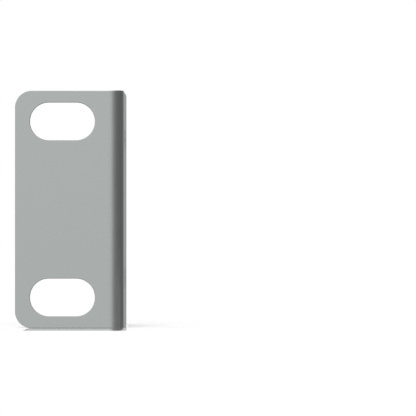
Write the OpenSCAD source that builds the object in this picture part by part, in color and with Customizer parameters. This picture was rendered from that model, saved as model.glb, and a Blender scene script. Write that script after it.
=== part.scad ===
// Right-angle ear bracket that fixes 19-inch equipment to a rack rail.
// It is one folded steel sheet: an ear that faces the front, and a flange
// that runs back along the side of the equipment.
// Frame: X runs across the ear towards the equipment, Y runs back into the
// rack and Z is up. The origin lies midway between the two rack slots, on
// the rear face of the ear, which seats on the rail.

/* [Sheet] */
// Thickness of the folded sheet
sheet_t = 2; // [1.5:0.1:2.5]
// Inside radius of the fold
fold_r = 0.4; // [0.3:0.1:1.2]
// Height of the bracket, just under one rack unit
height = 42.8; // [42:0.1:43.6]
// How far the squeezed metal stands out at each end of the fold
fold_swell = 0.1; // [0.05:0.05:0.2]

/* [Ear] */
// Width of the ear, from its outer edge to the face that lies on the equipment
ear_w = 19.6; // [19.5:0.05:30]
// Radius of the two outer corners of the ear
ear_corner_r = 3; // [0.5:0.1:3.5]

/* [Rack slots] */
// End-to-end length of each slot
slot_len = 11.7; // [8:0.1:12]
// Width of each slot
slot_w = 6.8; // [6:0.1:7.2]
// Distance between the two slot centres
slot_pitch = 31.75; // [31:0.05:32]
// Distance from the outer edge of the ear to the slot centres
slot_inset = 8.55; // [8.3:0.05:8.8]

/* [Flange] */
// Depth of the bracket, from the front of the ear to the rear edge of the flange
flange_d = 32; // [31.5:0.5:60]
// Radius of the two rear corners of the flange
flange_corner_r = 1; // [0.3:0.1:3]

/* [Screw holes] */
// Diameter of the screw holes
hole_d = 4.3; // [4:0.1:4.8]
// Diameter of the countersinks at the surface
csk_d = 7.8; // [6:0.1:8]
// Vertical distance between the two rows of holes
hole_pitch_z = 25.4; // [20:0.1:30]
// Front-to-back distance between the two columns of holes
hole_pitch_y = 16; // [12:0.5:17]
// Distance from the front of the ear to the first column of holes
hole_setback = 10.5; // [9:0.5:10.5]

/* [Hidden] */
$fn = 96;
out_r = fold_r + sheet_t;             // outside radius of the fold
swell_w = out_r / sqrt(2);            // half the width of the swelling
swell_r = (swell_w * swell_w + fold_swell * fold_swell) / (2 * fold_swell);
x_out = -slot_inset;                  // outer edge of the ear
x_dev = ear_w - slot_inset;           // face of the flange that lies on the equipment
y_front = -sheet_t;                   // front face of the ear
y_rear = flange_d - sheet_t;          // rear edge of the flange
x_fold = x_dev - out_r;               // where the flat ear ends
y_fold = y_front + out_r;             // where the flat flange starts
y_col = y_front + hole_setback;       // first column of holes
csk_h = min((csk_d - hole_d) / 2, sheet_t - 0.2);
steel = [0.67, 0.68, 0.68];

// A flat plate from x = 0 to w, square at x = w, with radius r on its two
// corners at x = 0, centred on y = 0 and t thick from z = 0.
module plate(w, h, r, t) {
    linear_extrude(height = t)
        union() {
            translate([r, -h / 2]) square([w - r, h]);
            translate([0, -h / 2 + r]) square([w, h - 2 * r]);
            for (s = [-1, 1]) translate([r, s * (h / 2 - r)]) circle(r = r);
        }
}

// A slot of length l and width w along X, cut through from z = 0 to t.
module slot(l, w, t) {
    linear_extrude(height = t)
        union() {
            square([l - w, w], center = true);
            for (s = [-1, 1]) translate([s * (l - w) / 2, 0]) circle(d = w);
        }
}

// A countersunk hole along +Z through a sheet from z = 0 to t, wide end at z = 0.
module csk_hole(t) {
    translate([0, 0, -1]) cylinder(d = hole_d, h = t + 2);
    translate([0, 0, -0.5])
        cylinder(r1 = hole_d / 2 + csk_h + 0.5, r2 = hole_d / 2, h = csk_h + 0.5);
}

// The fold seen from above, with a length w of the flat sheet on each side of
// it. The fold's axis is at the origin.
module fold_plan(w) {
    difference() {
        union() {
            intersection() {
                circle(r = out_r);
                translate([0, -out_r]) square(out_r);
            }
            translate([-w, -out_r]) square([w, sheet_t]);
            translate([fold_r, 0]) square([sheet_t, w]);
        }
        circle(r = fold_r);
    }
}

// The quarter of a tube that joins the ear to the flange. The metal that is
// squeezed out of it swells at each end in a shallow dome.
module fold() {
    translate([x_fold, y_fold, 0]) {
        translate([0, 0, -height / 2])
            linear_extrude(height = height) fold_plan(0.5);
        for (s = [0, 1]) mirror([0, 0, s])
            translate([0, 0, height / 2]) intersection() {
                translate([0, 0, -1]) linear_extrude(height = 2) fold_plan(3);
                translate([0, 0, fold_swell - swell_r])
                    rotate([0, 0, -45]) rotate([0, 90, 0])
                        cylinder(r = swell_r, h = 12, center = true, $fn = 360);
            }
    }
}

module bracket() {
    color(steel)
        difference() {
            union() {
                // ear
                translate([x_out, 0, 0]) rotate([90, 0, 0])
                    plate(x_fold - x_out, height, ear_corner_r, sheet_t);
                fold();
                // flange, with its square end at the fold
                translate([x_dev, y_rear, 0]) rotate([0, 0, -90]) rotate([90, 0, 0])
                    plate(y_rear - y_fold, height, flange_corner_r, sheet_t);
            }
            for (s = [-1, 1])
                translate([0, 1, s * slot_pitch / 2]) rotate([90, 0, 0])
                    slot(slot_len, slot_w, sheet_t + 2);
            for (c = [0, 1], s = [-1, 1])
                translate([x_dev - sheet_t, y_col + c * hole_pitch_y, s * hole_pitch_z / 2])
                    rotate([0, 90, 0]) csk_hole(sheet_t);
        }
}

bracket();
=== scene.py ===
import math

import bpy
import numpy as np
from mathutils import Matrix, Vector
from mathutils.geometry import delaunay_2d_cdt


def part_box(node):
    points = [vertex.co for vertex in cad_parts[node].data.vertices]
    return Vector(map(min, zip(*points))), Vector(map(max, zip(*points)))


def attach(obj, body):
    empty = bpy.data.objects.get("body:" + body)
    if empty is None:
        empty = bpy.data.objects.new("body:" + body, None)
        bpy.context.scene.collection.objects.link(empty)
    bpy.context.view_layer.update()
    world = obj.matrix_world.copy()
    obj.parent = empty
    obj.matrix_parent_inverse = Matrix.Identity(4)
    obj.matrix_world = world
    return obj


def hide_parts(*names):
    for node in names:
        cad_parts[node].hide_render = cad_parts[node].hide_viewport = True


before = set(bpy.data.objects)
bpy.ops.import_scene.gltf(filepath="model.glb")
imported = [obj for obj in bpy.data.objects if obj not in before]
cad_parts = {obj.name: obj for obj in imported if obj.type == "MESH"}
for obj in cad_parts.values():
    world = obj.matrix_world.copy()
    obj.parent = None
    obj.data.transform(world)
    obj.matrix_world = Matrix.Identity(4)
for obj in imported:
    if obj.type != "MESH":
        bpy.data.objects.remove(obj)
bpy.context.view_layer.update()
box_lo, box_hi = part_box("bracket")

MM = 0.001
scene = bpy.context.scene
scene.view_settings.view_transform = "Standard"
scene.view_settings.look = "None"

# ---------------------------------------------------------------- dimensions
# Millimetres, in the row frame. The outer limits come from the CAD box; the
# rest repeats the numbers that the part was built with.
X0 = box_lo.x / MM            # outer edge of the ear
X1 = box_hi.x / MM            # face of the flange that lies on the equipment
Y0 = box_lo.y / MM            # front face of the ear
Y1 = box_hi.y / MM            # rear edge of the flange
ZH = box_hi.z / MM            # half the height
T = 2.0                       # sheet thickness
RO = 2.4                      # outside radius of the fold
XF = X1 - RO                  # the flat ear ends here
YF = Y0 + RO                  # the flat flange starts here
LB = math.pi / 2 * 1.4        # length of the fold in the flat pattern
SE = XF + LB                  # the flange starts here in the flat pattern
S1 = SE + (Y1 - YF)           # rear edge in the flat pattern
SWELL = 0.10                  # the edges swell this much at the fold
ZE = ZH - SWELL - 0.005       # half the height away from the fold

# ---------------------------------------------------------------- camera
DIST = 930.0
SCALE = 5.5465                # pixels per millimetre at the front face
AIM = (26.258, 0.25)
cam_data = bpy.data.cameras.new("camera")
cam_data.sensor_fit = "HORIZONTAL"
cam_data.sensor_width = 36.0
cam_data.lens = SCALE * DIST * 36.0 / 416.0
cam_data.clip_start = 0.05
cam_data.clip_end = 60.0
cam = bpy.data.objects.new("camera", cam_data)
scene.collection.objects.link(cam)
cam.location = Vector((AIM[0], Y0 - DIST, -5.32)) * MM
look = Vector((AIM[0], Y0, AIM[1])) * MM - cam.location
cam.rotation_euler = look.to_track_quat("-Z", "Y").to_euler()
scene.camera = cam


# ---------------------------------------------------------------- flat pattern
# The bracket is built as its flat pattern and then folded. A point is
# (s, z, n): s runs along the unfolded sheet, z is up, and n is the depth below
# the outer surface, which is the front of the ear and the outside of the
# flange.
def arc(cs, cz, r, a0, a1, steps, inward=False):
    """Points of an arc with the direction out of the material at each."""
    out = []
    for i in range(steps):
        a = math.radians(a0 + (a1 - a0) * i / steps)
        d = (math.cos(a), math.sin(a))
        m = (-d[0], -d[1]) if inward else d
        out.append((cs + r * d[0], cz + r * d[1], m[0], m[1]))
    return out


def spread(a, b, step):
    n = max(1, round((b - a) / step))
    return [a + (b - a) * i / n for i in range(n + 1)]


R_EAR, R_REAR = 3.0, 1.0
FOLD_STEPS = 36
fold_s = [XF + LB * i / FOLD_STEPS for i in range(FOLD_STEPS + 1)]
run_s = (spread(X0 + R_EAR, XF - 0.6, 0.75) + spread(XF - 0.6, XF, 0.15)[1:]
         + fold_s[1:] + spread(SE, SE + 0.6, 0.15)[1:] + spread(SE + 0.6, S1 - R_REAR, 0.75)[1:])


def outline():
    """The edge of the flat pattern, anticlockwise."""
    p = [(s, -ZE, 0.0, -1.0) for s in run_s[:-1]]
    p += arc(S1 - R_REAR, -ZE + R_REAR, R_REAR, -90, 0, 20)
    p += [(S1, z, 1.0, 0.0) for z in spread(-ZE + R_REAR, ZE - R_REAR, 0.75)[:-1]]
    p += arc(S1 - R_REAR, ZE - R_REAR, R_REAR, 0, 90, 20)
    p += [(s, ZE, 0.0, 1.0) for s in run_s[::-1][:-1]]
    p += arc(X0 + R_EAR, ZE - R_EAR, R_EAR, 90, 180, 36)
    p += [(X0, z, -1.0, 0.0) for z in spread(-ZE + R_EAR, ZE - R_EAR, 0.75)[::-1][:-1]]
    p += arc(X0 + R_EAR, -ZE + R_EAR, R_EAR, 180, 270, 36)
    return np.array(p)


def slot_loop(cs, cz, length, width):
    """The edge of a slot, anticlockwise about its own centre."""
    r, h = width / 2, (length - width) / 2
    p = [(s, cz - r, 0.0, 1.0) for s in spread(cs - h, cs + h, 0.6)[:-1]]
    p += arc(cs + h, cz, r, -90, 90, 64, True)
    p += [(s, cz + r, 0.0, -1.0) for s in spread(cs - h, cs + h, 0.6)[::-1][:-1]]
    p += arc(cs - h, cz, r, 90, 270, 64, True)
    return np.array(p)


def hole_loop(cs, cz, r):
    return np.array(arc(cs, cz, r, 0, 360, 96, True))


# A profile runs from the outer surface to the inner one, round an edge. Each
# step is (distance into the material, depth, normal out of the edge, normal
# towards the outer surface, wear, wall).
def roll(a, b, steps, start, flip=False):
    """The soft rounding where the sheet's surface turns into its cut edge."""
    out = []
    for i in range(steps + 1):
        t = math.radians(90 * i / steps)
        d, n = a * (1 - math.sin(t)), b * (1 - math.cos(t))
        nm, nn = math.sin(t) / a, math.cos(t) / b
        k = math.hypot(nm, nn)
        wear = math.sin(2 * t)
        wall = min(1.0, max(0.0, (i / steps - 0.45) / 0.5))
        out.append((start + d, n, nm / k, nn / k, wear, wall))
    if flip:
        out = [(d, T - n, nm, -nn, w, wl) for d, n, nm, nn, w, wl in out[::-1]]
    return out


def cut_edge(a, b, lean, deburr):
    """A sheared edge: rolled over at the front, a smooth band, then the torn
    part, which leans back a little, and a broken rear corner."""
    front = roll(a, b, 8, 0.0)
    tilt = math.atan2(lean, T - 0.8 - deburr)
    wall = [(0.0, 0.45, 1.0, 0.0, 0.0, 1.0), (0.0, 0.76, 1.0, 0.0, 0.0, 1.0)]
    steps = 4
    for i in range(1, steps):
        f = i / steps
        wall.append((lean * f, 0.82 + (T - deburr - 0.9) * f, math.cos(tilt), -math.sin(tilt), 0.0, 1.0))
    rear = roll(deburr, deburr, 4, lean, True)
    return front + wall + rear


def countersunk(r, csk_r):
    """A drilled hole with its countersink on the inner surface."""
    front = roll(0.10, 0.07, 5, 0.0)
    c = math.sqrt(0.5)
    h = csk_r - r
    k = 0.05
    p = front + [(0.0, T - h - k, 1.0, 0.0, 0.0, 1.0)]
    for i in range(1, 4):
        t = math.radians(45 * i / 4)
        p.append((k * (1 - math.cos(t)), T - h - k + k * math.sin(t) + k * 0.3 * i / 4,
                  math.cos(t), -math.sin(t), 1.0, 1.0))
    for f in (0.04, 0.2, 0.4, 0.6, 0.8, 0.955):
        p.append((h * f, T - h + h * f, c, -c, 0.0, 2.0))
    for i in range(1, 5):
        t = math.radians(45 + 45 * i / 4)
        f = i / 4
        p.append((h * 0.955 + f * 0.16, T - h * 0.045 * (1 - f) ** 1.6, math.cos(t), -math.sin(t),
                  1.0 if i < 4 else 0.3, 2.0 if i < 3 else 0.0))
    return p


HOLES_S = [SE + (8.5 - YF), SE + (24.5 - YF)]
loops = [(outline(), cut_edge(0.09, 0.07, 0.03, 0.07))]
for sz in (-1, 1):
    loops.append((slot_loop(0.0, sz * 15.875, 11.7, 6.8), cut_edge(0.13, 0.10, 0.05, 0.06)))
for hs in HOLES_S:
    for sz in (-1, 1):
        loops.append((hole_loop(hs, sz * 12.7, 2.15), countersunk(2.15, 3.9)))

coords, normals, wear, wall = [], [], [], []   # flat-pattern vertices
faces, places = [], []        # the faces, and where their corners lie on the bake map

# The bake map is a square, here in millimetres. The outer surface lies at the
# bottom left, the inner one above it, and the edges stand to the right of them
# as strips, drawn larger.
GAP = 0.7
MAP = 4 * ZE + 3 * GAP
STRIP = 1.5
strip_x, strip_y, strip_w = S1 - X0 + 2 * GAP, GAP, 0.0


def strip_room(length, width):
    """Finds room for a strip, upright, and returns its lower left corner."""
    global strip_x, strip_y, strip_w
    if strip_y + length > MAP - GAP + 1e-6 or width > strip_w + 1e-6:
        strip_x += strip_w + (GAP if strip_w else 0.0)
        strip_y, strip_w = GAP, width
    at = (strip_x, strip_y)
    strip_y += length + GAP
    return at


def lay_strip(ring, profile, turn):
    """Where the edge's faces lie on the bake map, row by row, as a table of corners."""
    far = max(profile, key=lambda q: q[0])[0]
    pts = np.array([(p[0] - p[2] * far, p[1] - p[3] * far) for p in ring])
    step = np.linalg.norm(np.roll(pts, -1, axis=0) - pts, axis=1) * STRIP
    across = np.array([(q[0], q[1]) for q in profile])
    v = np.concatenate([[0.0], np.cumsum(np.linalg.norm(np.diff(across, axis=0), axis=1))]) * STRIP
    pieces = math.ceil(step.sum() / (MAP - 2 * GAP - 0.1))
    most = step.sum() / pieces + step.max()
    spans, start, run = [], 0, 0.0
    for i, d in enumerate(step):
        if run + d > most:
            spans.append((start, i))
            start, run = i, 0.0
        run += d
    spans.append((start, len(step)))
    where = {}
    for a, b in spans:
        u = np.concatenate([[0.0], np.cumsum(step[a:b])])
        x, y = strip_room(u[-1], v[-1])
        for i in range(a, b):
            for k in range(len(v)):
                for end, h in ((0, u[i - a]), (1, u[i - a + 1])):
                    where[i, k, end] = (x + (v[k] if turn else v[-1] - v[k]), y + h)
    return where


def add(points, norms, w, wl):
    first = len(coords)
    coords.extend(points)
    normals.extend(norms)
    wear.extend(w)
    wall.extend(wl)
    return list(range(first, first + len(points)))


outer_rings, inner_rings = [], []
for ring, profile in loops:
    rows = []
    for d, n, nm, nn, w, wl in profile:
        pts = [(p[0] - p[2] * d, p[1] - p[3] * d, n) for p in ring]
        nrm = [(p[2] * nm, p[3] * nm, nn) for p in ring]
        rows.append(add(pts, nrm, [w] * len(ring), [wl] * len(ring)))
    turn = loops[0][0] is ring
    where = lay_strip(ring, profile, turn)
    for k, (a, b) in enumerate(zip(rows[:-1], rows[1:])):
        for i in range(len(a)):
            j = (i + 1) % len(a)
            if turn:
                faces.append((a[j], a[i], b[i], b[j]))
                places.append((where[i, k, 1], where[i, k, 0], where[i, k + 1, 0], where[i, k + 1, 1]))
            else:
                faces.append((a[i], a[j], b[j], b[i]))
                places.append((where[i, k, 0], where[i, k, 1], where[i, k + 1, 1], where[i, k + 1, 0]))
    outer_rings.append(rows[0])
    inner_rings.append(rows[-1])


def inside(poly, q):
    """Whether each point of q lies inside the closed polygon poly."""
    hit = np.zeros(len(q), bool)
    a, b = poly, np.roll(poly, -1, axis=0)
    for (ax, ay), (bx, by) in zip(a, b):
        cross = (ay > q[:, 1]) != (by > q[:, 1])
        if cross.any():
            x = (bx - ax) * (q[:, 1] - ay) / ((by - ay) or 1e-12) + ax
            hit ^= cross & (q[:, 0] < x)
    return hit


def fill(rings, n, side):
    """Covers one surface of the sheet with triangles between its edges."""
    flat = [np.array([coords[i][:2] for i in r]) for r in rings]
    grid = []
    zs = [z for z in spread(-ZE + 0.9, ZE - 0.9, 1.0)]
    cols = sorted(set(run_s) | set(spread(X0 + 0.9, X0 + R_EAR, 0.75)[:-1]))
    for s in cols:
        for z in zs:
            grid.append((s, z))
    grid = np.array(grid)
    edge = np.concatenate([np.concatenate([(f * (1 - k) + np.roll(f, -1, axis=0) * k) for k in (0, 0.5)])
                           for f in flat])
    keep = inside(flat[0], grid)
    for f in flat[1:]:
        keep &= ~inside(f, grid)
    near = np.array([np.min((edge[:, 0] - s) ** 2 + (edge[:, 1] - z) ** 2) for s, z in grid])
    grid = grid[keep & (near > 0.45 ** 2)]
    ids = add([(s, z, n) for s, z in grid], [(0.0, 0.0, side)] * len(grid), [0.0] * len(grid), [0.0] * len(grid))
    index = [i for r in rings for i in r] + ids
    pts = [Vector(coords[i][:2]) for i in index]
    cons, at = [], 0
    for r in rings:
        cons += [(at + i, at + (i + 1) % len(r)) for i in range(len(r))]
        at += len(r)
    columns = {}
    for k, i in enumerate(index):
        s = coords[i][0]
        if XF - 0.61 < s < SE + 0.61:
            columns.setdefault(round(s, 5), []).append((coords[i][1], k))
    for c in columns.values():
        c.sort()
        cons += [(a[1], b[1]) for a, b in zip(c[:-1], c[1:])]
    _, _, tris, origin, _, _ = delaunay_2d_cdt(pts, cons, [], 0, 1e-7, True)
    assert len(origin) == len(pts) and all(len(o) for o in origin)
    where = [o[0] for o in origin]
    tri = np.array([[where[v] for v in t] for t in tris])
    xy = np.array([p[:] for p in pts])
    mid = xy[tri].mean(axis=1)
    ok = inside(flat[0], mid)
    for f in flat[1:]:
        ok &= ~inside(f, mid)
    for t in tri[ok]:
        a, b, c = xy[t[0]], xy[t[1]], xy[t[2]]
        area = (b[0] - a[0]) * (c[1] - a[1]) - (b[1] - a[1]) * (c[0] - a[0])
        t = t if (area > 0) == (side > 0) else t[::-1]
        faces.append(tuple(index[v] for v in t))
        places.append([(x - X0 + GAP, z + ZE + GAP) if side > 0 else (S1 - x + GAP, z + 3 * ZE + 2 * GAP)
                       for x, z in xy[list(t)]])


fill(outer_rings, 0.0, 1.0)
fill(inner_rings, T, -1.0)

P = np.array(coords)
N = np.array(normals)
W = np.array(wear)
WL = np.array(wall)


# ---------------------------------------------------------------- folding
def swell(p):
    """How far the folded edge stands out, because the metal is squeezed there."""
    f = np.clip((p[:, 0] - (XF - 0.35)) / (LB + 0.7), 0, 1)
    across = np.clip(2.2 * np.minimum(f, 1 - f), 0, 1)
    across = across * across * (3 - 2 * across)
    up = np.clip((np.abs(p[:, 1]) - (ZE - 3.2)) / 3.2, 0, 1)
    up = up * up * (3 - 2 * up)
    return SWELL * across * up * (0.86 + 0.14 * p[:, 2] / T) * np.sign(p[:, 1])


def bent(p):
    """Folds flat-pattern points, with the directions of s and of the outer surface."""
    phi = np.clip((p[:, 0] - XF) / LB, 0, 1) * math.pi / 2
    ear, fl = p[:, 0] <= XF, p[:, 0] >= SE
    r = RO - p[:, 2]
    x = XF + r * np.sin(phi)
    y = YF - r * np.cos(phi)
    x = np.where(ear, p[:, 0], x)
    y = np.where(ear, Y0 + p[:, 2], y)
    x = np.where(fl, X1 - p[:, 2], x)
    y = np.where(fl, YF + p[:, 0] - SE, y)
    zero = np.zeros(len(p))
    tangent = np.stack([np.cos(phi), np.sin(phi), zero], 1)
    out = np.stack([np.sin(phi), -np.cos(phi), zero], 1)
    return np.stack([x, y, p[:, 1]], 1), tangent, out


e = 1e-4
g = np.stack([(swell(P + np.eye(3)[k] * e) - swell(P - np.eye(3)[k] * e)) / (2 * e) for k in range(3)], 1)
g[:, 2] *= -1          # towards the outer surface
Nw = N - g * (N[:, 1] / (1 + g[:, 1]))[:, None]
Nw /= np.linalg.norm(Nw, axis=1)[:, None]
Q = P.copy()
Q[:, 1] += swell(P)
V, tan, out = bent(Q)
normal = tan * Nw[:, 0:1] + out * Nw[:, 2:3] + np.stack([0 * Nw[:, 1], 0 * Nw[:, 1], Nw[:, 1]], 1)
normal /= np.linalg.norm(normal, axis=1)[:, None]

me = bpy.data.meshes.new("bracket_sheet")
me.from_pydata([tuple(v * MM) for v in V], [], faces)
me.update()
for poly in me.polygons:
    poly.use_smooth = True
me.normals_split_custom_set_from_vertices([tuple(v) for v in normal])
bake_map = me.uv_layers.new(name="OFBake")
bake_map.uv.foreach_set("vector", (np.array([c for f in places for c in f]) / MAP).astype(np.float32).ravel())
fold_mask = np.clip((P[:, 0] - XF + 0.35) / (LB + 0.7), 0, 1)
fold_mask = np.sin(np.pi * fold_mask) ** 0.8
for name, data in (("sheet", P), ("wear", W), ("cut", np.clip(WL, 0, 1)), ("csk", np.clip(WL - 1, 0, 1)),
                   ("fold", fold_mask)):
    kind = "FLOAT_VECTOR" if data.ndim == 2 else "FLOAT"
    at = me.attributes.new(name, kind, "POINT")
    at.data.foreach_set("vector" if data.ndim == 2 else "value", data.astype(np.float32).ravel())
sheet = bpy.data.objects.new("bracket_sheet", me)
scene.collection.objects.link(sheet)
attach(sheet, "root")
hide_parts("bracket")


# ---------------------------------------------------------------- node helper
class Nodes:
    """Short forms for building a node tree."""

    def __init__(self, tree):
        self.tree = tree
        tree.nodes.clear()

    def new(self, kind, **settings):
        n = self.tree.nodes.new(kind)
        for k, v in settings.items():
            setattr(n, k, v)
        return n

    def put(self, socket, value):
        if isinstance(value, bpy.types.NodeSocket):
            self.tree.links.new(value, socket)
        elif value is not None:
            socket.default_value = value

    def math(self, op, a, b=None, c=None, clamp=False):
        n = self.new("ShaderNodeMath", operation=op, use_clamp=clamp)
        for i, v in enumerate((a, b, c)):
            if v is not None:
                self.put(n.inputs[i], v)
        return n.outputs[0]

    def vmath(self, op, a, b=None):
        n = self.new("ShaderNodeVectorMath", operation=op)
        self.put(n.inputs[0], a)
        if b is not None:
            self.put(n.inputs[1], b)
        return n.outputs[0]

    def ramp(self, v, a, b, lo=0.0, hi=1.0, smooth=True):
        """Maps a..b to lo..hi, and holds the ends."""
        n = self.new("ShaderNodeMapRange", clamp=True)
        n.interpolation_type = "SMOOTHSTEP" if smooth else "LINEAR"
        self.put(n.inputs["Value"], v)
        self.put(n.inputs["From Min"], a)
        self.put(n.inputs["From Max"], b)
        self.put(n.inputs["To Min"], lo)
        self.put(n.inputs["To Max"], hi)
        return n.outputs["Result"]

    def curve(self, v, points):
        """A smooth curve through points, with x from 0 to 1."""
        n = self.new("ShaderNodeFloatCurve")
        c = n.mapping.curves[0]
        n.mapping.use_clip = False
        while len(c.points) > 2:
            c.points.remove(c.points[1])
        c.points[0].location = points[0]
        c.points[1].location = points[-1]
        for p in points[1:-1]:
            c.points.new(*p)
        for p in c.points:
            p.handle_type = "AUTO_CLAMPED"
        n.mapping.update()
        self.put(n.inputs["Value"], v)
        return n.outputs[0]

    def noise(self, vector, scale, detail=2.0, rough=0.5, distort=0.0):
        n = self.new("ShaderNodeTexNoise", noise_dimensions="3D")
        self.put(n.inputs["Vector"], vector)
        self.put(n.inputs["Scale"], scale)
        self.put(n.inputs["Detail"], detail)
        self.put(n.inputs["Roughness"], rough)
        self.put(n.inputs["Distortion"], distort)
        return n.outputs[0]

    def mix(self, f, a, b):
        n = self.new("ShaderNodeMix", data_type="RGBA", clamp_factor=True)
        self.put(n.inputs["Factor"], f)
        self.put(n.inputs["A"], a)
        self.put(n.inputs["B"], b)
        return n.outputs["Result"]

    def mixf(self, f, a, b):
        n = self.new("ShaderNodeMix", data_type="FLOAT", clamp_factor=True)
        self.put(n.inputs["Factor"], f)
        self.put(n.inputs["A"], a)
        self.put(n.inputs["B"], b)
        return n.outputs["Result"]

    def attribute(self, name, vector=False):
        n = self.new("ShaderNodeAttribute", attribute_name=name)
        return n.outputs["Vector" if vector else "Fac"]


def socket(node, name, kind):
    return next(s for s in node.inputs if s.name == name and s.type == kind)


# ---------------------------------------------------------------- plated steel
mat = bpy.data.materials.new("plated_steel")
mat.use_nodes = True
N_ = Nodes(mat.node_tree)
at_sheet = N_.attribute("sheet", True)
a_wear = N_.attribute("wear")
a_cut = N_.attribute("cut")
a_csk = N_.attribute("csk")
a_fold = N_.attribute("fold")
sep = N_.new("ShaderNodeSeparateXYZ")
N_.put(sep.inputs[0], at_sheet)
depth = sep.outputs[2]


def stretched(x, y, z):
    return N_.vmath("MULTIPLY", at_sheet, (x, y, z))


cloud = N_.noise(stretched(1, 1, 4), 0.32, 3.0, 0.55)
fine = N_.noise(stretched(1, 1, 1), 5.5, 2.0, 0.6)
grain = N_.noise(stretched(9.0, 0.35, 9.0), 1.0, 3.0, 0.6)
blotch = N_.noise(stretched(1, 1, 3), 1.3, 2.0, 0.5)

# colour
tone = N_.math("ADD", N_.math("MULTIPLY", N_.math("SUBTRACT", cloud, 0.5), 0.046),
               N_.math("MULTIPLY", N_.math("SUBTRACT", fine, 0.5), 0.034))
tone = N_.math("ADD", tone, N_.math("MULTIPLY", N_.math("SUBTRACT", grain, 0.5), 0.026))
tone = N_.math("ADD", tone, N_.math("MULTIPLY", N_.math("SUBTRACT", blotch, 0.5), 0.02))
tone = N_.math("ADD", 1.0, tone)
plate = N_.new("ShaderNodeRGB")
plate.outputs[0].default_value = (0.631, 0.662, 0.653, 1.0)
colour = N_.vmath("MULTIPLY", plate.outputs[0], N_.new("ShaderNodeCombineXYZ").outputs[0])
comb = mat.node_tree.nodes[-1]
comb = next(n for n in mat.node_tree.nodes if n.type == "COMBXYZ")
for i in range(3):
    N_.put(comb.inputs[i], tone)

# rubbed edges
rub = N_.math("MULTIPLY", N_.ramp(blotch, 0.35, 0.65), a_wear)
colour = N_.mix(N_.math("MULTIPLY", rub, 0.55), colour, (0.74, 0.74, 0.73, 1.0))

# the sheared edge: a smooth band, then the torn part
tear_line = N_.math("ADD", 0.78, N_.math("MULTIPLY", N_.math("SUBTRACT", N_.noise(stretched(1, 1, 0), 0.9, 2.0), 0.5), 0.5))
torn = N_.math("MULTIPLY", N_.ramp(N_.math("SUBTRACT", depth, tear_line), -0.05, 0.08), a_cut)
torn = N_.math("MULTIPLY", torn, N_.math("SUBTRACT", 1.0, a_csk))
drag = N_.noise(stretched(14.0, 14.0, 0.8), 1.0, 2.0, 0.6)
crumb = N_.noise(stretched(6.0, 6.0, 4.0), 1.0, 4.0, 0.65)
torn_col = N_.mix(N_.ramp(crumb, 0.3, 0.7, smooth=False), (0.40, 0.41, 0.405, 1.0), (0.58, 0.60, 0.59, 1.0))
colour = N_.mix(N_.math("MULTIPLY", torn, 0.8), colour, torn_col)
burnish = N_.math("MULTIPLY", a_cut, N_.math("SUBTRACT", 1.0, torn))
drag_col = N_.mix(N_.ramp(drag, 0.3, 0.7, smooth=False), (0.52, 0.54, 0.535, 1.0), (0.66, 0.68, 0.67, 1.0))
colour = N_.mix(N_.math("MULTIPLY", burnish, 0.6), colour, drag_col)

# the fold: the plating is dulled and finely lined where it is stretched. The darkened colour on the outer side of the
# fold is partly that dulling and partly painted shade standing in for the fold's dark reflection
lines = N_.noise(stretched(7.0, 0.25, 3.0), 1.0, 3.0, 0.6)
outer_side = N_.ramp(depth, 0.25, 0.9, 1.0, 0.0)
stretch = N_.math("MULTIPLY", a_fold, outer_side)
dull_and_painted_shade = N_.math("MULTIPLY", stretch, N_.ramp(lines, 0.3, 0.7, 0.35, 1.0, smooth=False))
# painted shade: part of this darkening of the fold stands in for its dark reflection
colour = N_.mix(N_.math("MULTIPLY", dull_and_painted_shade, 0.55), colour, (0.42, 0.435, 0.43, 1.0))

# turned rings in the countersinks
ring = N_.math("SINE", N_.math("MULTIPLY", depth, 2 * math.pi / 0.11))
colour = N_.mix(N_.math("MULTIPLY", a_csk, N_.ramp(ring, -1, 1, 0.1, 0.5, smooth=False)), colour, (0.70, 0.71, 0.70, 1.0))

# roughness
rough = N_.math("ADD", 0.27, N_.math("MULTIPLY", N_.math("SUBTRACT", cloud, 0.5), 0.08))
rough = N_.math("ADD", rough, N_.math("MULTIPLY", N_.math("SUBTRACT", fine, 0.5), 0.05))
rough = N_.math("ADD", rough, N_.math("MULTIPLY", N_.math("SUBTRACT", grain, 0.5), 0.05))
rough = N_.math("ADD", rough, N_.math("MULTIPLY", dull_and_painted_shade, 0.07))
rough = N_.math("ADD", rough, N_.math("MULTIPLY", rub, -0.05))
rough = N_.mixf(torn, rough, 0.55)
rough = N_.mixf(N_.math("MULTIPLY", a_csk, 0.8), rough, 0.24)

# fine relief
h = N_.math("MULTIPLY", fine, 0.0008)
h = N_.math("ADD", h, N_.math("MULTIPLY", grain, 0.0006))
h = N_.math("ADD", h, N_.math("MULTIPLY", blotch, 0.0006))
h = N_.math("ADD", h, N_.math("MULTIPLY", N_.math("MULTIPLY", lines, stretch), 0.004))
h = N_.math("ADD", h, N_.math("MULTIPLY", N_.math("MULTIPLY", crumb, torn), 0.05))
h = N_.math("ADD", h, N_.math("MULTIPLY", N_.math("MULTIPLY", drag, burnish), 0.004))
h = N_.math("ADD", h, N_.math("MULTIPLY", N_.math("MULTIPLY", ring, a_csk), 0.003))
bump = N_.new("ShaderNodeBump")
bump.inputs["Strength"].default_value = 1.0
bump.inputs["Distance"].default_value = MM
N_.put(bump.inputs["Height"], h)

p = N_.new("ShaderNodeBsdfPrincipled")
N_.put(p.inputs["Base Color"], colour)
p.inputs["Metallic"].default_value = 1.0
N_.put(p.inputs["Roughness"], rough)
N_.put(p.inputs["Normal"], bump.outputs[0])
o = N_.new("ShaderNodeOutputMaterial")
N_.put(o.inputs["Surface"], p.outputs[0])
me.materials.append(mat)

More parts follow.
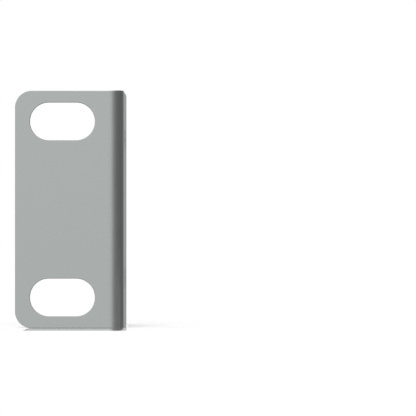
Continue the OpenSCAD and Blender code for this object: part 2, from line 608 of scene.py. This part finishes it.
# ---------------------------------------------------------------- floor
# A plain white floor. In front of the ear it is a little shiny at a grazing
# angle, so a trace of the lowest edge shows in it.
fm = bpy.data.meshes.new("floor")
big = 6.0
zf = -(ZE + 0.015) * MM        # the flat edges stand on it
fm.from_pydata([(-big, -2.0, zf), (big, -2.0, zf), (big, big, zf), (-big, big, zf)], [], [(0, 1, 2, 3)])
floor = bpy.data.objects.new("floor", fm)
scene.collection.objects.link(floor)
fmat = bpy.data.materials.new("floor")
fmat.use_nodes = True
F = Nodes(fmat.node_tree)
fxyz = F.new("ShaderNodeSeparateXYZ")
F.put(fxyz.inputs[0], F.new("ShaderNodeTexCoord").outputs["Object"])


def gap_to(x0, x1, y0, y1):
    """Distance on the floor to a rectangle, in mm."""
    px = F.math("SUBTRACT", F.math("ABSOLUTE", F.math("SUBTRACT", fxyz.outputs[0], (x0 + x1) / 2 * MM)), (x1 - x0) / 2 * MM)
    py = F.math("SUBTRACT", F.math("ABSOLUTE", F.math("SUBTRACT", fxyz.outputs[1], (y0 + y1) / 2 * MM)), (y1 - y0) / 2 * MM)
    px, py = F.math("MAXIMUM", px, 0.0), F.math("MAXIMUM", py, 0.0)
    return F.math("DIVIDE", F.math("SQRT", F.math("ADD", F.math("MULTIPLY", px, px), F.math("MULTIPLY", py, py))), MM)


near = F.curve(F.math("DIVIDE", gap_to(X0, X1, Y0, Y0 + T), 40.0),
               [(0.0, 1.0), (0.25, 1.0), (0.45, 0.93), (0.62, 0.76), (0.80, 0.0), (1.0, 0.0)])
front = F.ramp(fxyz.outputs[1], (Y0 + 1.2) * MM, (Y0 - 0.2) * MM)
beside = F.math("MULTIPLY", F.ramp(fxyz.outputs[1], (Y0 - 0.2) * MM, (Y0 + 1.2) * MM),
                F.math("MULTIPLY", F.ramp(fxyz.outputs[0], (X1 - 0.3) * MM, (X1 - 0.1) * MM),
                       F.ramp(fxyz.outputs[0], (X1 + 0.62) * MM, (X1 + 0.40) * MM)))
fres = F.new("ShaderNodeFresnel")
fres.inputs["IOR"].default_value = 1.45
gain = F.math("MULTIPLY", F.ramp(fxyz.outputs[0], XF * MM, (XF + 1.2) * MM, 1.06, 1.40),
              F.ramp(fxyz.outputs[0], (X1 - 0.4) * MM, (X1 + 0.1) * MM, 1.0, 0.62))
gain = F.math("MAXIMUM", F.math("MULTIPLY", gain, front), F.math("MULTIPLY", beside, 1.2))
shine = F.math("MULTIPLY", F.math("MULTIPLY", F.math("POWER", fres.outputs[0], 2.0), gain), near, clamp=True)
fd = F.new("ShaderNodeBsdfDiffuse")
fd.inputs["Color"].default_value = (0.82, 0.82, 0.82, 1.0)
fg = F.new("ShaderNodeBsdfGlossy")
fg.inputs["Color"].default_value = (1.0, 1.0, 1.0, 1.0)
fg.inputs["Roughness"].default_value = 0.0
fe = F.new("ShaderNodeEmission")
fe.inputs["Color"].default_value = (1.0, 1.0, 1.0, 1.0)
fe.inputs["Strength"].default_value = 0.505
fa = F.new("ShaderNodeAddShader")
F.put(fa.inputs[0], fd.outputs[0])
F.put(fa.inputs[1], fe.outputs[0])
fx = F.new("ShaderNodeMixShader")
F.put(fx.inputs[0], shine)
F.put(fx.inputs[1], fa.outputs[0])
F.put(fx.inputs[2], fg.outputs[0])
fo = F.new("ShaderNodeOutputMaterial")
F.put(fo.inputs["Surface"], fx.outputs[0])
fm.materials.append(fmat)
floor.visible_glossy = False
floor.visible_shadow = False

# ---------------------------------------------------------------- studio light
# The metal mirrors soft panels round the object, and a bright dome lights the
# floor evenly.
world = bpy.data.worlds.new("studio")
scene.world = world
world.use_nodes = True
world.cycles.sampling_method = "NONE"
L = Nodes(world.node_tree)
tc = L.new("ShaderNodeTexCoord")
xyz = L.new("ShaderNodeSeparateXYZ")
L.put(xyz.inputs[0], tc.outputs["Generated"])
dx, dy, dz = xyz.outputs
az = L.math("MULTIPLY", L.math("ARCTAN2", dx, L.math("MULTIPLY", dy, -1.0)), 180 / math.pi)   # 0 in front, 90 at +X
el = L.math("MULTIPLY", L.math("ARCSINE", dz), 180 / math.pi)
u = L.math("DIVIDE", L.math("ADD", az, 180.0), 360.0)


def around(points):
    """Brightness by azimuth, from -180 to 180."""
    return L.curve(u, [((a + 180.0) / 360.0, v) for a, v in points])


ring_light = around([
    (-180, 0.47), (-150, 0.43), (-110, 0.55), (-70, 0.62), (-30, 0.66), (0, 0.66), (8, 0.62), (16, 0.48), (24, 0.36),
    (35, 0.28), (50, 0.19), (65, 0.168), (90, 0.157), (120, 0.157), (140, 0.22), (160, 0.42), (180, 0.47)])
front_share = L.ramp(L.math("ABSOLUTE", az), 30.0, 80.0, 1.0, 0.0)
ring_light = L.math("MULTIPLY", ring_light, L.mixf(front_share, L.ramp(el, -20.0, 20.0, 0.55, 1.45, smooth=False),
                                                   L.ramp(el, -20.0, 20.0, 0.60, 1.40, smooth=False)))
over = L.ramp(el, 12.0, 30.0)
upper = L.mixf(L.ramp(el, 50.0, 85.0), around([
    (-180, 0.72), (-150, 1.00), (-120, 1.15), (-90, 1.00), (-45, 0.75), (0, 0.62), (45, 0.52), (75, 0.36), (100, 0.30),
    (140, 0.32), (160, 0.48), (180, 0.72)]), 0.85)
under = L.ramp(el, -12.0, -26.0)
low = L.math("MULTIPLY", around([
    (-180, 0.42), (-130, 0.50), (-90, 0.58), (-45, 0.64), (0, 0.60), (45, 0.50), (90, 0.42), (135, 0.40), (180, 0.42)]),
    L.ramp(el, -30.0, -52.0, 1.0, 0.20))
light = L.mixf(over, ring_light, upper)
light = L.mixf(under, light, low)
path = L.new("ShaderNodeLightPath")
light = L.mixf(path.outputs["Is Diffuse Ray"], light, 0.146)
plain = L.math("MAXIMUM", path.outputs["Is Camera Ray"], path.outputs["Is Singular Ray"])
light = L.mixf(plain, light, 1.0)
col = L.new("ShaderNodeCombineColor")
for i in range(3):
    L.put(col.inputs[i], light)
back_node = L.new("ShaderNodeBackground")
L.put(back_node.inputs["Color"], col.outputs[0])
back_node.inputs["Strength"].default_value = 1.0
wo = L.new("ShaderNodeOutputWorld")
L.put(wo.inputs["Surface"], back_node.outputs[0])

# Three soft lamps, above and in front and a little to the left, give the floor
# its shadow. Each has how far it leans to the left and to the front, its width
# and what it adds to the floor.
floor_only = bpy.data.collections.new("floor_only")
floor_only.objects.link(floor)
for i, (left, front, width, share) in enumerate(((4, 20, 14, 0.149), (2, 60, 35, 0.155), (13, 0, 35, 0.085))):
    lamp_data = bpy.data.lights.new("floor_lamp_%d" % i, "SUN")
    lamp_data.angle = math.radians(width)
    lamp = bpy.data.objects.new("floor_lamp_%d" % i, lamp_data)
    scene.collection.objects.link(lamp)
    down = Vector((math.tan(math.radians(left)), math.tan(math.radians(front)), -1.0))
    lamp_data.energy = math.pi / 0.82 * share * down.length
    lamp.rotation_euler = down.to_track_quat("-Z", "Y").to_euler()
    lamp.light_linking.receiver_collection = floor_only

# A weak glow low down in front and to the right, on the metal only, lightens the
# lower end of the fold.
glow_data = bpy.data.lights.new("fold_glow", "AREA")
glow_data.shape = "RECTANGLE"
glow_data.size, glow_data.size_y = 40.0 * MM, 9.0 * MM
glow_data.energy = 0.13 * math.pi * glow_data.size * glow_data.size_y
glow = bpy.data.objects.new("fold_glow", glow_data)
glow.location = ((X1 + 42.0) * MM, (Y0 - 14.0) * MM, (3.0 - ZE) * MM)
glow.rotation_euler = Vector((1.0, 0.0, 0.0)).to_track_quat("Z", "Y").to_euler()
glow.visible_camera = False
scene.collection.objects.link(glow)
metal_only = bpy.data.collections.new("metal_only")
metal_only.objects.link(sheet)
glow.light_linking.receiver_collection = metal_only
